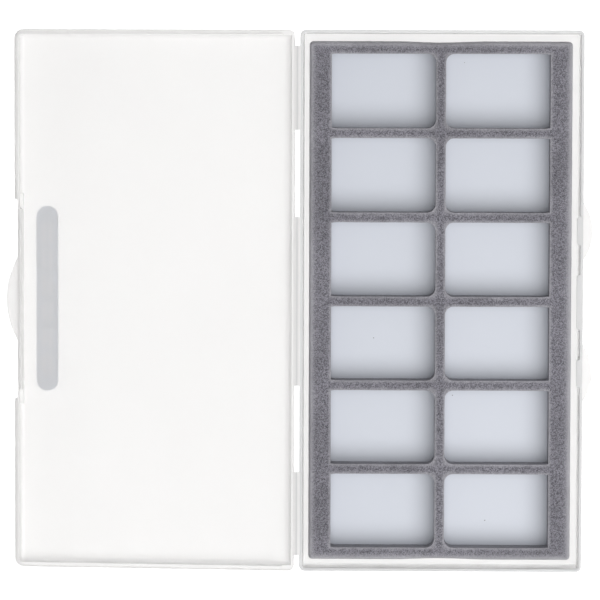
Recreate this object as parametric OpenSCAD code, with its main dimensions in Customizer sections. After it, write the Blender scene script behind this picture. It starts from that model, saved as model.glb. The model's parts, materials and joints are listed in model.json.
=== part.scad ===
// Flat hinged case with a foam divider that makes two columns of pockets.
// Origin: centre of the tray's underside. The tray lies to +X, the opened lid to -X, Z is up.
// The lid is drawn opened past flat, so that its free edge rests on the table.

/* [Case] */
// Length of the case along the hinge
case_len = 190; // [150:1:240]
// Width of each half, from its hinge side to its free side
half_w = 99.2; // [85:0.1:130]
// Height of the tray, up to the parting plane
tray_h = 13; // [12:0.1:24]
// Depth of the lid, below the parting plane when opened flat
lid_h = 4; // [3.5:0.1:8]
// Thickness of the tray's walls and of both large panels
wall = 1.2; // [1:0.05:1.6]
// Radius of the corners of the tray and of the lid's hinge side
corner_r = 2; // [1.8:0.1:3]
// Radius of the corners of the lid's free side
lid_free_r = 3.3; // [2.6:0.1:5]
// Radius that rounds the outer edges of both large panels
edge_r = 1.2; // [0.6:0.1:1.5]
// Gap between the parting faces when the case is shut
parting_gap = 0.1; // [0.05:0.01:0.2]

/* [Hinge] */
// Width of each hinge leaf, from its wall to the fold line
leaf_w = 0.97; // [0.8:0.01:2]
// Thickness of a hinge leaf
leaf_t = 0.8; // [0.6:0.05:1]
// Width of the thin bending web
web_w = 0.5; // [0.4:0.05:0.8]
// Thickness of the thin bending web
web_t = 0.3; // [0.2:0.05:0.4]
// Length of the middle strap
mid_strap = 59.4; // [40:0.1:80]
// Length of each end strap
end_strap = 29.4; // [20:0.1:40]
// Distance from the middle of the case to the middle of an end strap
end_strap_y = 74.7; // [70:0.1:80]

/* [Latch] */
// Length of the middle latch lug
mid_lug = 19.3; // [12:0.1:24]
// Length of each side latch lug
side_lug = 9.8; // [6:0.1:12]
// Distance from the middle of the case to the middle of a side lug
side_lug_y = 25; // [20:0.1:28]
// How far a lug stands out of the tray's wall
lug_out = 1.05; // [0.8:0.05:1.3]
// Height of a lug
lug_h = 1.4; // [1:0.1:2]
// How far the lid's bead reaches under a lug
bead_out = 0.25; // [0.15:0.05:0.4]
// Length of the notch in the lid's free side
notch_len = 70.4; // [66:0.1:80]
// Depth of the notch in the lid's free side
notch_d = 1.1; // [0.8:0.05:1.2]

/* [Lid lip] */
// Distance from the lid's outline to the outer face of its lip
lip_inset = 1.4; // [1.3:0.05:1.8]
// Thickness of the lip
lip_t = 0.6; // [0.5:0.05:0.9]
// Height of the lip above the parting plane
lip_h = 1.6; // [1:0.1:2.5]
// Height of the lip at the latch
latch_lip_h = 2.4; // [2.2:0.1:3]

/* [Thumb tabs] */
// Length of the lid's tab along the free side
lid_tab_len = 29.4; // [20:0.1:32]
// How far the lid's tab stands out of the outline
lid_tab_out = 2.85; // [2:0.05:5]
// Length of each tray tab along the free side
tray_tab_len = 19.9; // [14:0.1:22]
// How far a tray tab stands out of the outline
tray_tab_out = 3.2; // [2:0.05:5]
// Distance from the middle of the case to the middle of a tray tab
tray_tab_y = 24.8; // [24:0.1:28]
// Thickness of all tabs
tab_t = 0.9; // [0.7:0.05:1.2]

/* [Foam divider] */
// Width of the divider
foam_w = 92; // [76:0.5:92]
// Length of the divider
foam_len = 182; // [140:0.5:182]
// Offset of the divider's middle towards the hinge
foam_shift = 0.4; // [0:0.1:0.6]
// Width of the two straight rails
rail_w = 7.8; // [5:0.1:12]
// Width of the bars at both ends
end_bar_w = 4.3; // [3:0.1:8]
// Width of the spine and of the cross bars
bar_w = 3.5; // [2.5:0.1:6]
// Number of pockets along each column
pocket_rows = 6; // [3:1:8]
// Radius of the pocket corners beside the spine
pocket_r = 3; // [1:0.1:5]
// Distance from the parting plane down to the foam's top
foam_drop = 1.7; // [1.5:0.1:3]

/* [Floor and films] */
// Thickness of the pale floor sheet
sheet_t = 0.6; // [0.4:0.05:1]
// Distance from the foam's outline to the floor sheet's edge
sheet_inset = 0.6; // [0.3:0.1:0.6]
// Thickness of the adhesive films
film_t = 0.15; // [0.1:0.05:0.2]
// Distance from each edge of a glued piece to its adhesive film
film_inset = 0.8; // [0.7:0.1:1.2]

/* [Label] */
// Width of the pill-shaped label in the lid's outer face
label_w = 7.85; // [5:0.05:12]
// Length of the label
label_len = 65.5; // [30:0.5:80]
// Distance from the lid's free side to the label's middle
label_in = 11.2; // [10:0.1:20]
// Depth of the label's recess
label_recess = 0.5; // [0.3:0.05:0.6]
// Gap all round between the label and its recess
label_gap = 0.05; // [0.03:0.01:0.1]

/* [Hidden] */

$fn = 48;
overlap = 0.2;
rim_gap = parting_gap / 2;
tray_x = half_w / 2;
hinge_x = -tray_x - leaf_w;
lid_far = leaf_w + half_w;
table_gap = 0.02;

// The lid's lowest point is on the rounded outer edge of its free side, so the angle at which
// that edge meets the table solves tray_h - edge = reach * sin(a) + depth * cos(a).
edge_reach = lid_far - edge_r;
edge_depth = lid_h - edge_r;
lid_droop = asin((tray_h - edge_r - table_gap) / norm([edge_reach, edge_depth]))
    - atan2(edge_depth, edge_reach);

sheet_z = wall + film_t;
foam_film_z = sheet_z + sheet_t;
foam_z = foam_film_z + film_t;
foam_top = tray_h - foam_drop;
foam_h = foam_top - foam_z;
foam_x0 = -foam_w / 2 - foam_shift;
core_x0 = foam_x0 + rail_w;
core_w = foam_w - 2 * rail_w;
pocket_w = (core_w - bar_w) / 2;
pocket_len = (foam_len - 2 * end_bar_w - (pocket_rows - 1) * bar_w) / pocket_rows;
pocket_pitch = pocket_len + bar_w;

lip_base = 0.8;
latch_gap = 0.15;
latch_lip_in = wall + lug_out + latch_gap;
latch_half = side_lug_y + side_lug / 2 + 1.6;
lid_rim_w = lip_inset + lip_t;
hinge_rim_w = 1;
bead_h = 0.6;

strap_spans = [
    [end_strap_y, end_strap],
    [0, mid_strap],
    [-end_strap_y, end_strap]
];

/* ---- shared shapes ---- */

// A round puck whose lower outer edge is rounded.
module puck(r, h, edge) {
    rotate_extrude($fn = 40) intersection() {
        square([r, h]);
        union() {
            square([r - edge, h]);
            translate([0, edge]) square([r, h - edge]);
            translate([r - edge, edge]) circle(edge, $fn = 32);
        }
    }
}

// A rounded slab from x0 to x1, with its own corner radius on each side.
module slab(x0, x1, len, h, r0, r1, edge) {
    hull() for (y = [-1, 1]) {
        translate([x0 + r0, y * (len / 2 - r0), 0]) puck(r0, h, edge);
        translate([x1 - r1, y * (len / 2 - r1), 0]) puck(r1, h, edge);
    }
}

// A rectangle from x0 to x1 with a corner radius on each side.
module plate_2d(x0, x1, len, r0, r1) {
    translate([x0 + r0, -len / 2]) square([x1 - x0 - r0 - r1, len]);
    translate([x0, r0 - len / 2]) square([x1 - x0 - r1, len - 2 * r0]);
    translate([x0 + r0, r1 - len / 2]) square([x1 - x0 - r0, len - 2 * r1]);
    for (y = [-1, 1]) {
        translate([x0 + r0, y * (len / 2 - r0)]) circle(r0);
        translate([x1 - r1, y * (len / 2 - r1)]) circle(r1);
    }
}

// A pill lying along Y.
module pill_2d(w, len) {
    square([w, len - w], center = true);
    for (y = [-1, 1]) translate([0, y * (len - w) / 2]) circle(w / 2);
}

// The part of a disc that stands out of a straight edge at x = 0.
module tab_2d(len, out) {
    r = (len * len / 4 + out * out) / (2 * out);
    intersection() {
        translate([out - r, 0]) circle(r, $fn = 96);
        translate([-overlap, -r]) square([out + overlap, 2 * r]);
    }
}

// Moves the lid's own drawing, made flat with the fold line as its Y axis, to its place.
module at_lid() {
    translate([hinge_x, 0, tray_h]) rotate([0, -lid_droop, 0]) children();
}

/* ---- case ---- */

module latch_lug(len) {
    translate([tray_x - wall, 0, tray_h - rim_gap - lug_h]) linear_extrude(lug_h) {
        translate([-lug_out / 2, 0]) square([lug_out + overlap, len - lug_out], center = true);
        for (y = [-1, 1]) translate([-lug_out / 2, y * (len - lug_out) / 2]) circle(lug_out / 2);
    }
}

module case_base() {
    rim = tray_h - rim_gap;
    color([0.93, 0.94, 0.93]) union() {
        difference() {
            slab(-tray_x, tray_x, case_len, rim, corner_r, corner_r, edge_r);
            translate([0, 0, wall]) linear_extrude(tray_h)
                plate_2d(wall - tray_x, tray_x - wall, case_len - 2 * wall,
                    corner_r - wall, corner_r - wall);
        }
        for (span = strap_spans)
            translate([hinge_x + web_w / 2, span[0] - span[1] / 2, rim - leaf_t])
                cube([leaf_w - web_w / 2 + overlap, span[1], leaf_t]);
        latch_lug(mid_lug);
        for (side = [-1, 1]) {
            translate([0, side * side_lug_y, 0]) latch_lug(side_lug);
            translate([tray_x, side * tray_tab_y, rim - tab_t]) linear_extrude(tab_t)
                tab_2d(tray_tab_len, tray_tab_out);
        }
    }
}

// The lid drawn flat: x = 0 is the fold line, z = 0 the parting plane, its outside faces down.
module lid_shell_flat() {
    rim = lid_h - rim_gap;
    difference() {
        translate([0, 0, -lid_h])
            slab(-lid_far, -leaf_w, case_len, rim, lid_free_r, corner_r, edge_r);
        translate([0, 0, wall - lid_h]) linear_extrude(lid_h)
            plate_2d(lid_rim_w - lid_far, -leaf_w - hinge_rim_w, case_len - 2 * lid_rim_w,
                lid_free_r - lid_rim_w, 0.4);
        translate([-lid_far - overlap, -notch_len / 2, -lid_h - overlap])
            cube([notch_d + overlap, notch_len, lid_h + 2 * overlap]);
        translate([label_in - lid_far, 0, -lid_h - overlap])
            linear_extrude(label_recess + overlap) pill_2d(label_w, label_len);
    }
}

// The thin lip on three sides of the lid, which enters the tray.
module lid_lip_flat() {
    x0 = lip_inset - lid_far;
    x_end = -leaf_w - 4;
    len = case_len - 2 * lip_inset;
    inner_r = lid_free_r - lid_rim_w;
    translate([0, 0, -lip_base]) linear_extrude(lip_base + lip_h) difference() {
        plate_2d(x0, x_end, len, lid_free_r - lip_inset, 0.1);
        plate_2d(x0 + lip_t, x_end + 1, len - 2 * lip_t, inner_r, 0.1);
        translate([x0 - 1, -latch_half]) square([2, 2 * latch_half]);
    }
}

// The part of the free side behind the notch, with the taller lip and beads of the latch.
module lid_latch_flat() {
    x0 = notch_d - lid_far;
    lip_x = latch_lip_in - lid_far;
    lip_end = lip_x + lip_t;
    rim_len = notch_len + 2 * lid_rim_w;
    bead_z = rim_gap + lug_h + parting_gap;
    translate([x0, -rim_len / 2, -lid_h + edge_r])
        cube([lip_end - x0, rim_len, lid_h - edge_r - rim_gap]);
    translate([lip_x, -latch_half, -lip_base])
        cube([lip_t, 2 * latch_half, lip_base + latch_lip_h]);
    for (side = [-1, 1])
        translate([lip_inset - lid_far, side * (latch_half + lip_t / 2) - lip_t / 2, -lip_base])
            cube([lip_end - lip_inset + lid_far, lip_t, lip_base + lip_h]);
    for (bead = [[-side_lug_y, side_lug], [0, mid_lug], [side_lug_y, side_lug]])
        translate([lip_x - latch_gap - bead_out, bead[0] - bead[1] / 2 + 1, bead_z])
            cube([latch_gap + bead_out + overlap, bead[1] - 2, bead_h]);
}

module case_lid() {
    color([0.96, 0.96, 0.95]) at_lid() union() {
        lid_shell_flat();
        lid_lip_flat();
        lid_latch_flat();
        for (span = strap_spans)
            translate([-leaf_w - overlap, span[0] - span[1] / 2, -rim_gap - leaf_t])
                cube([leaf_w - web_w / 2 + overlap, span[1], leaf_t]);
        translate([notch_d - lid_far, 0, -rim_gap - tab_t]) mirror([1, 0, 0])
            linear_extrude(tab_t) tab_2d(lid_tab_len, lid_tab_out + notch_d);
    }
}

/* ---- hinge webs ---- */

// A point of the lid's own drawing and a point on the fold's bisector, both from the fold line.
function lid_point(x, z) = [
    x * cos(lid_droop) - z * sin(lid_droop),
    x * sin(lid_droop) + z * cos(lid_droop)
];
function fold_point(z) = [-z * tan(lid_droop / 2), z];

// One thin web. Its section is bent at the fold line, half flat and half along the opened lid.
module hinge_web(span) {
    half = web_w / 2;
    top = -rim_gap;
    under = -rim_gap - web_t;
    section = [
        [half, top], fold_point(top), lid_point(-half, top),
        lid_point(-half, under), fold_point(under), [half, under]
    ];
    color([0.89, 0.89, 0.88])
        translate([hinge_x, span[0] + span[1] / 2, tray_h]) rotate([90, 0, 0])
            linear_extrude(span[1]) polygon(section);
}

/* ---- insert ---- */

// The divider's middle part: spine, cross bars and end bars, open at both rails.
module core_2d(inset) {
    difference() {
        translate([core_x0 + inset, inset - foam_len / 2])
            square([core_w - 2 * inset, foam_len - 2 * inset]);
        for (side = [-1, 1], row = [0:pocket_rows - 1])
            translate([-foam_shift, (row - (pocket_rows - 1) / 2) * pocket_pitch])
                mirror([side < 0 ? 1 : 0, 0]) pocket_2d(inset);
    }
}

// One pocket beside the spine: round corners at the spine, open at the rail. It grows by inset.
module pocket_2d(inset) {
    x0 = bar_w / 2 - inset;
    r = pocket_r + inset;
    len = pocket_len + 2 * inset;
    translate([x0 + r, -len / 2]) square([pocket_w, len]);
    translate([x0, r - len / 2]) square([pocket_w, len - 2 * r]);
    for (y = [-1, 1]) translate([x0 + r, y * (len / 2 - r)]) circle(r);
}

module rail_2d(x0, inset) {
    translate([x0 + inset, inset - foam_len / 2])
        square([rail_w - 2 * inset, foam_len - 2 * inset]);
}

module foam_core() {
    color([0.49, 0.49, 0.51]) translate([0, 0, foam_z]) linear_extrude(foam_h) core_2d(0);
}

module foam_rail_inner() {
    color([0.49, 0.49, 0.51]) translate([0, 0, foam_z]) linear_extrude(foam_h)
        rail_2d(foam_x0, 0);
}

module foam_rail_outer() {
    color([0.49, 0.49, 0.51]) translate([0, 0, foam_z]) linear_extrude(foam_h)
        rail_2d(foam_x0 + foam_w - rail_w, 0);
}

module foam_adhesive() {
    color([0.85, 0.84, 0.78]) translate([0, 0, foam_film_z]) linear_extrude(film_t) {
        core_2d(film_inset);
        rail_2d(foam_x0, film_inset);
        rail_2d(foam_x0 + foam_w - rail_w, film_inset);
    }
}

module floor_plate(inset, thickness) {
    translate([foam_x0 + inset, inset - foam_len / 2, 0])
        cube([foam_w - 2 * inset, foam_len - 2 * inset, thickness]);
}

module floor_sheet() {
    color([0.82, 0.85, 0.9]) translate([0, 0, sheet_z]) floor_plate(sheet_inset, sheet_t);
}

module sheet_adhesive() {
    color([0.85, 0.84, 0.78]) translate([0, 0, wall])
        floor_plate(sheet_inset + film_inset, film_t);
}

/* ---- label ---- */

module label_inlay() {
    color([0.79, 0.8, 0.83]) at_lid()
        translate([label_in - lid_far, 0, label_gap - lid_h])
            linear_extrude(label_recess - label_gap)
                pill_2d(label_w - 2 * label_gap, label_len - 2 * label_gap);
}

case_base();
case_lid();
hinge_web(strap_spans[0]);  // hinge_web_rear
hinge_web(strap_spans[1]);  // hinge_web_middle
hinge_web(strap_spans[2]);  // hinge_web_front
sheet_adhesive();
floor_sheet();
foam_adhesive();
foam_core();
foam_rail_inner();
foam_rail_outer();
label_inlay();
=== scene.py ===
"""A flat hinged case with a foam divider, opened on a table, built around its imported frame.

The tray and the lid are one moulding of frosted polypropylene, joined by three straps of a living
hinge. A die-cut foam divider stands on a pale sheet on the tray's floor and makes twelve pockets.
Lengths are in metres. The lid and what is on it are built lying flat, with the fold line as the
Y axis and the parting plane as z = 0, and are then turned down to where the opened lid rests.
"""

import json
import logging
import math
from dataclasses import dataclass, field
from enum import Enum
from functools import partial
from typing import Callable, Sequence

import bmesh
import bpy
from mathutils import Euler, Matrix, Vector
from mathutils.geometry import delaunay_2d_cdt
from mathutils.noise import noise


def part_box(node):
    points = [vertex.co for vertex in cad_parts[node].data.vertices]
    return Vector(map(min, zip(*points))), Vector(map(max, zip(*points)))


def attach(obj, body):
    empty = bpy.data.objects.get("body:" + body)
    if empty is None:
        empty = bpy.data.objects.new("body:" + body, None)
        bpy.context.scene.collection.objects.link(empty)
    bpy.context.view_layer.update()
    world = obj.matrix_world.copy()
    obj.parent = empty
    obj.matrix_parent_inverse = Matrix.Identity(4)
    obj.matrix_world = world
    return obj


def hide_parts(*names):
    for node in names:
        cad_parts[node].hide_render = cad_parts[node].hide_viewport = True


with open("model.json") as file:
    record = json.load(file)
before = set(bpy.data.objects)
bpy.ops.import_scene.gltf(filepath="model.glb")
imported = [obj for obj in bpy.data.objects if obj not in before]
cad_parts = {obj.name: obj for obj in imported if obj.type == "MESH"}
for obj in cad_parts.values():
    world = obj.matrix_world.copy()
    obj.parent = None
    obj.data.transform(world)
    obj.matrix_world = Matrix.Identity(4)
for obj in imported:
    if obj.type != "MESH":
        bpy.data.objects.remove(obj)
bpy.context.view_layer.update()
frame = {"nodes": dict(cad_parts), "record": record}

log = logging.getLogger("case")

MM = 0.001
# Name of the attribute that paints the foam paler: partly fray, partly painted highlight and painted bounce
# light.
FOAM_FRAY_AND_HIGHLIGHT = "foam_fray_and_highlight"
Point = tuple[float, float]
Ring = list[Vector]


# ---------------------------------------------------------------------------------------------
# Outlines and meshes
# ---------------------------------------------------------------------------------------------


def arc(centre: Point, radius: float, start: float, end: float, steps: int) -> list[Point]:
    """Points along an arc.

    Args:
        centre: the arc's centre.
        radius: its radius.
        start: the first angle, in degrees.
        end: the last angle, in degrees.
        steps: how many chords it has.

    Returns:
        steps + 1 points.
    """
    angles = (math.radians(start + (end - start) * i / steps) for i in range(steps + 1))
    return [(centre[0] + radius * math.cos(a), centre[1] + radius * math.sin(a)) for a in angles]


@dataclass(frozen=True)
class Outline:
    """A rectangle in plan, centred on y = 0, with its own corner radius at each end of X."""

    x0: float
    x1: float
    half: float
    r0: float
    r1: float

    def inset(self, start: float, end: float | None = None) -> "Outline":
        """The outline moved inwards.

        Args:
            start: how far the side at x0 and both long ends move in.
            end: how far the side at x1 moves in, or None for the same distance.

        Returns:
            The smaller outline, whose corners stay parallel to this one's.
        """
        end = start if end is None else end
        least = 0.1 * MM
        r0 = max(self.r0 - start, least)
        r1 = max(self.r1 - max(start, end), least)
        return Outline(self.x0 + start, self.x1 - end, self.half - start, r0, r1)

    def points(self, steps: int = 8) -> list[Point]:
        """The outline as points, anticlockwise.

        Args:
            steps: chords in each corner.

        Returns:
            The points, always the same number for the same steps.
        """
        low, high = -self.half, self.half
        return (
            arc((self.x1 - self.r1, low + self.r1), self.r1, -90, 0, steps)
            + arc((self.x1 - self.r1, high - self.r1), self.r1, 0, 90, steps)
            + arc((self.x0 + self.r0, high - self.r0), self.r0, 90, 180, steps)
            + arc((self.x0 + self.r0, low + self.r0), self.r0, 180, 270, steps)
        )


def at_height(points: Sequence[Point], z: float) -> Ring:
    """The points of a plan outline, all at one height."""
    return [Vector((x, y, z)) for x, y in points]


def filleted(corners: Sequence[tuple[float, float, float]], steps: int = 5) -> list[Point]:
    """An open line with rounded corners.

    Args:
        corners: x, y and fillet radius of each corner; the radii of the two ends are not used.
        steps: chords in each fillet.

    Returns:
        The line's points.
    """
    line = [(corners[0][0], corners[0][1])]
    for before, (x, y, radius), after in zip(corners, corners[1:], corners[2:]):
        at = Vector((x, y))
        back = (Vector(before[:2]) - at).normalized()
        on = (Vector(after[:2]) - at).normalized()
        half = back.angle(on) / 2
        centre = at + (back + on).normalized() * (radius / math.sin(half))
        first = at + back * (radius / math.tan(half))
        last = at + on * (radius / math.tan(half))
        a0 = math.atan2(first.y - centre.y, first.x - centre.x)
        a1 = math.atan2(last.y - centre.y, last.x - centre.x)
        a1 += 2 * math.pi * round((a0 - a1) / (2 * math.pi))
        line += arc(centre[:], radius, math.degrees(a0), math.degrees(a1), steps)
    return line + [(corners[-1][0], corners[-1][1])]


def quarter(radius: float, steps: int, rising: bool) -> list[Point]:
    """A rounded edge as steps inwards and upwards.

    Args:
        radius: the edge's radius.
        steps: chords along it.
        rising: True for an edge that starts level and ends upright, False for the other way.

    Returns:
        Pairs of how far in and how far up, both from 0 to radius.
    """
    angles = [math.pi / 2 * i / steps for i in range(steps + 1)]
    if rising:
        return [(radius * (1 - math.sin(a)), radius * (1 - math.cos(a))) for a in angles]
    return [(radius * (1 - math.cos(a)), radius * math.sin(a)) for a in angles]


def mesh_piece(name: str, vertices: Sequence[Vector], faces: Sequence[Sequence[int]]) -> bpy.types.Object:
    """A new object in the scene from plain vertices and faces, with its normals outwards."""
    mesh = bpy.data.meshes.new(name)
    mesh.from_pydata([tuple(v) for v in vertices], [], faces)
    work = bmesh.new()
    work.from_mesh(mesh)
    bmesh.ops.recalc_face_normals(work, faces=work.faces)
    work.to_mesh(mesh)
    work.free()
    piece = bpy.data.objects.new(name, mesh)
    bpy.context.scene.collection.objects.link(piece)
    return piece


def loft(name: str, rings: Sequence[Ring]) -> bpy.types.Object:
    """A closed solid through rings of equally many points, with a flat cap on both ends."""
    count = len(rings[0])
    vertices = [v for ring in rings for v in ring]
    faces = [
        (base + i, base + (i + 1) % count, base + count + (i + 1) % count, base + count + i)
        for base in range(0, count * (len(rings) - 1), count)
        for i in range(count)
    ]
    faces.append(tuple(reversed(range(count))))
    faces.append(tuple(range(len(vertices) - count, len(vertices))))
    return mesh_piece(name, vertices, faces)


def offset_loop(line: Sequence[Point], distance: float) -> list[Point]:
    """A closed anticlockwise line moved inwards by a distance, its corners kept sharp."""
    moved = []
    for before, at, after in zip([line[-1], *line[:-1]], line, [*line[1:], line[0]]):
        n0 = Vector((before[1] - at[1], at[0] - before[0])).normalized()
        n1 = Vector((at[1] - after[1], after[0] - at[0])).normalized()
        both = n0 + n1
        scale = distance / max(0.3, both.length_squared / 2)
        moved.append((at[0] + both.x * scale, at[1] + both.y * scale))
    return moved


def slab(name: str, line: Sequence[Point], low: float, high: float, rounding: float) -> bpy.types.Object:
    """A plate with rounded edges.

    Args:
        name: the piece's name.
        line: its outline, anticlockwise.
        low: the height of its underside.
        high: the height of its top.
        rounding: the radius along both edges.

    Returns:
        The plate.
    """
    lower = quarter(rounding, 3, rising=True)
    rings = [at_height(offset_loop(line, into), low + up) for into, up in lower]
    rings += [at_height(offset_loop(line, into), high - up) for into, up in reversed(lower)]
    return loft(name, rings)


def sweep(
    name: str, path: Sequence[Point], tops: Sequence[float], base: float, width: float
) -> bpy.types.Object:
    """A thin upright wall along an open path, with a rounded top.

    Args:
        name: the piece's name.
        path: the middle of the wall in plan.
        tops: the height of its top at each point of the path.
        base: the height of its underside.
        width: its thickness.

    Returns:
        The closed wall.
    """
    side = width / 2
    rings = []
    for i, (at, top) in enumerate(zip(path, tops)):
        before = Vector(path[max(i - 1, 0)])
        after = Vector(path[min(i + 1, len(path) - 1)])
        along = (after - before).normalized()
        across = Vector((-along.y, along.x))
        section = [(-side, base - top), (-side, -0.6 * side), (-0.6 * side, 0)]
        section += [(0.6 * side, 0), (side, -0.6 * side), (side, base - top)]
        rings.append([Vector((*(Vector(at) + across * u), top + z)) for u, z in section])
    return loft(name, rings)


def baked(piece: bpy.types.Object) -> bpy.types.Object:
    """Applies the piece's modifiers to its mesh."""
    graph = bpy.context.evaluated_depsgraph_get()
    mesh = bpy.data.meshes.new_from_object(piece.evaluated_get(graph))
    old = piece.data
    piece.modifiers.clear()
    piece.data = mesh
    bpy.data.meshes.remove(old)
    return piece


def combined(
    piece: bpy.types.Object, others: Sequence[bpy.types.Object], operation: str
) -> bpy.types.Object:
    """Joins solids to a piece or cuts them out of it, and removes them.

    Args:
        piece: the solid that stays.
        others: the solids that are used up.
        operation: UNION or DIFFERENCE.

    Returns:
        The piece.

    Raises:
        ValueError: if nothing is left of the piece.
    """
    for other in others:
        step = piece.modifiers.new("join", "BOOLEAN")
        step.operation = operation
        step.solver = "EXACT"
        step.object = other
        baked(piece)
        if not piece.data.polygons:
            raise ValueError(f"nothing is left of {piece.name} after {other.name}")
        mesh = other.data
        bpy.data.objects.remove(other)
        bpy.data.meshes.remove(mesh)
    return piece


def smoothed(piece: bpy.types.Object, angle: float = 32) -> bpy.types.Object:
    """Shades a piece smooth, keeps its sharp edges and lets its flat faces look flat.

    Args:
        piece: the piece to shade.
        angle: edges that turn more than this many degrees stay sharp.

    Returns:
        The piece.
    """
    piece.data.shade_smooth()
    piece.data.set_sharp_from_angle(angle=math.radians(angle))
    normals = piece.modifiers.new("flat_faces", "WEIGHTED_NORMAL")
    normals.keep_sharp = True
    normals.weight = 80
    return baked(piece)


def joined(name: str, pieces: Sequence[bpy.types.Object]) -> bpy.types.Object:
    """Puts the meshes of several pieces in one, side by side."""
    work = bmesh.new()
    for piece in pieces:
        work.from_mesh(piece.data)
    for piece in pieces:
        mesh = piece.data
        bpy.data.objects.remove(piece)
        bpy.data.meshes.remove(mesh)
    mesh = bpy.data.meshes.new(name)
    work.to_mesh(mesh)
    work.free()
    piece = bpy.data.objects.new(name, mesh)
    bpy.context.scene.collection.objects.link(piece)
    return piece


# ---------------------------------------------------------------------------------------------
# Shader effects
# ---------------------------------------------------------------------------------------------


class Tree:
    """Adds nodes and links to one node tree."""

    def __init__(self, tree: bpy.types.NodeTree) -> None:
        """Takes the tree to build in."""
        self.tree = tree

    def node(
        self, kind: str, inputs: dict[str | int, object] | None = None, **props: object
    ) -> bpy.types.Node:
        """Adds a node.

        Args:
            kind: the node's type name.
            inputs: values or output sockets for its inputs, by name or number.
            **props: the node's own settings.

        Returns:
            The new node.
        """
        made = self.tree.nodes.new(kind)
        for key, value in props.items():
            setattr(made, key, value)
        for key, value in (inputs or {}).items():
            if isinstance(value, bpy.types.NodeSocket):
                self.tree.links.new(value, made.inputs[key])
            else:
                made.inputs[key].default_value = value
        return made

    def maths(self, operation: str, a: object, b: object = 0.0, clamp: bool = False) -> bpy.types.NodeSocket:
        """The result of a Math node on two values or sockets."""
        return self.node("ShaderNodeMath", {0: a, 1: b}, operation=operation, use_clamp=clamp).outputs[0]

    def remap(
        self, value: object, low: float, high: float, to_low: float, to_high: float
    ) -> bpy.types.NodeSocket:
        """A value mapped smoothly from one range to another, and held inside it."""
        made = self.node(
            "ShaderNodeMapRange",
            {"Value": value, "From Min": low, "From Max": high, "To Min": to_low, "To Max": to_high},
            interpolation_type="SMOOTHSTEP",
        )
        return made.outputs["Result"]

    def blend(self, share: object, a: object, b: object, kind: str = "MIX") -> bpy.types.NodeSocket:
        """Two colours mixed by a share."""
        made = self.node("ShaderNodeMix", data_type="RGBA", blend_type=kind)
        for socket, value in ((made.inputs[0], share), (made.inputs[6], a), (made.inputs[7], b)):
            if isinstance(value, bpy.types.NodeSocket):
                self.tree.links.new(value, socket)
            else:
                socket.default_value = value
        return made.outputs[2]

    def place(self, group: bpy.types.NodeTree, **inputs: object) -> bpy.types.Node:
        """Places a node group with its own values."""
        made = self.tree.nodes.new("ShaderNodeGroup")
        made.node_tree = group
        for key, value in inputs.items():
            socket = made.inputs[key.replace("_", " ").capitalize()]
            if isinstance(value, bpy.types.NodeSocket):
                self.tree.links.new(value, socket)
            else:
                socket.default_value = value
        return made


def new_group(
    name: str, inputs: dict[str, float], outputs: dict[str, str]
) -> tuple[bpy.types.NodeTree, Tree]:
    """Starts a shader node group.

    Args:
        name: the group's name.
        inputs: each value input's name and default.
        outputs: each output's name and socket type.

    Returns:
        The group and a builder for its tree.
    """
    group = bpy.data.node_groups.new(name, "ShaderNodeTree")
    for label, default in inputs.items():
        socket = group.interface.new_socket(label, in_out="INPUT", socket_type="NodeSocketFloat")
        socket.default_value = default
    for label, kind in outputs.items():
        group.interface.new_socket(label, in_out="OUTPUT", socket_type=kind)
    return group, Tree(group)


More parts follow.
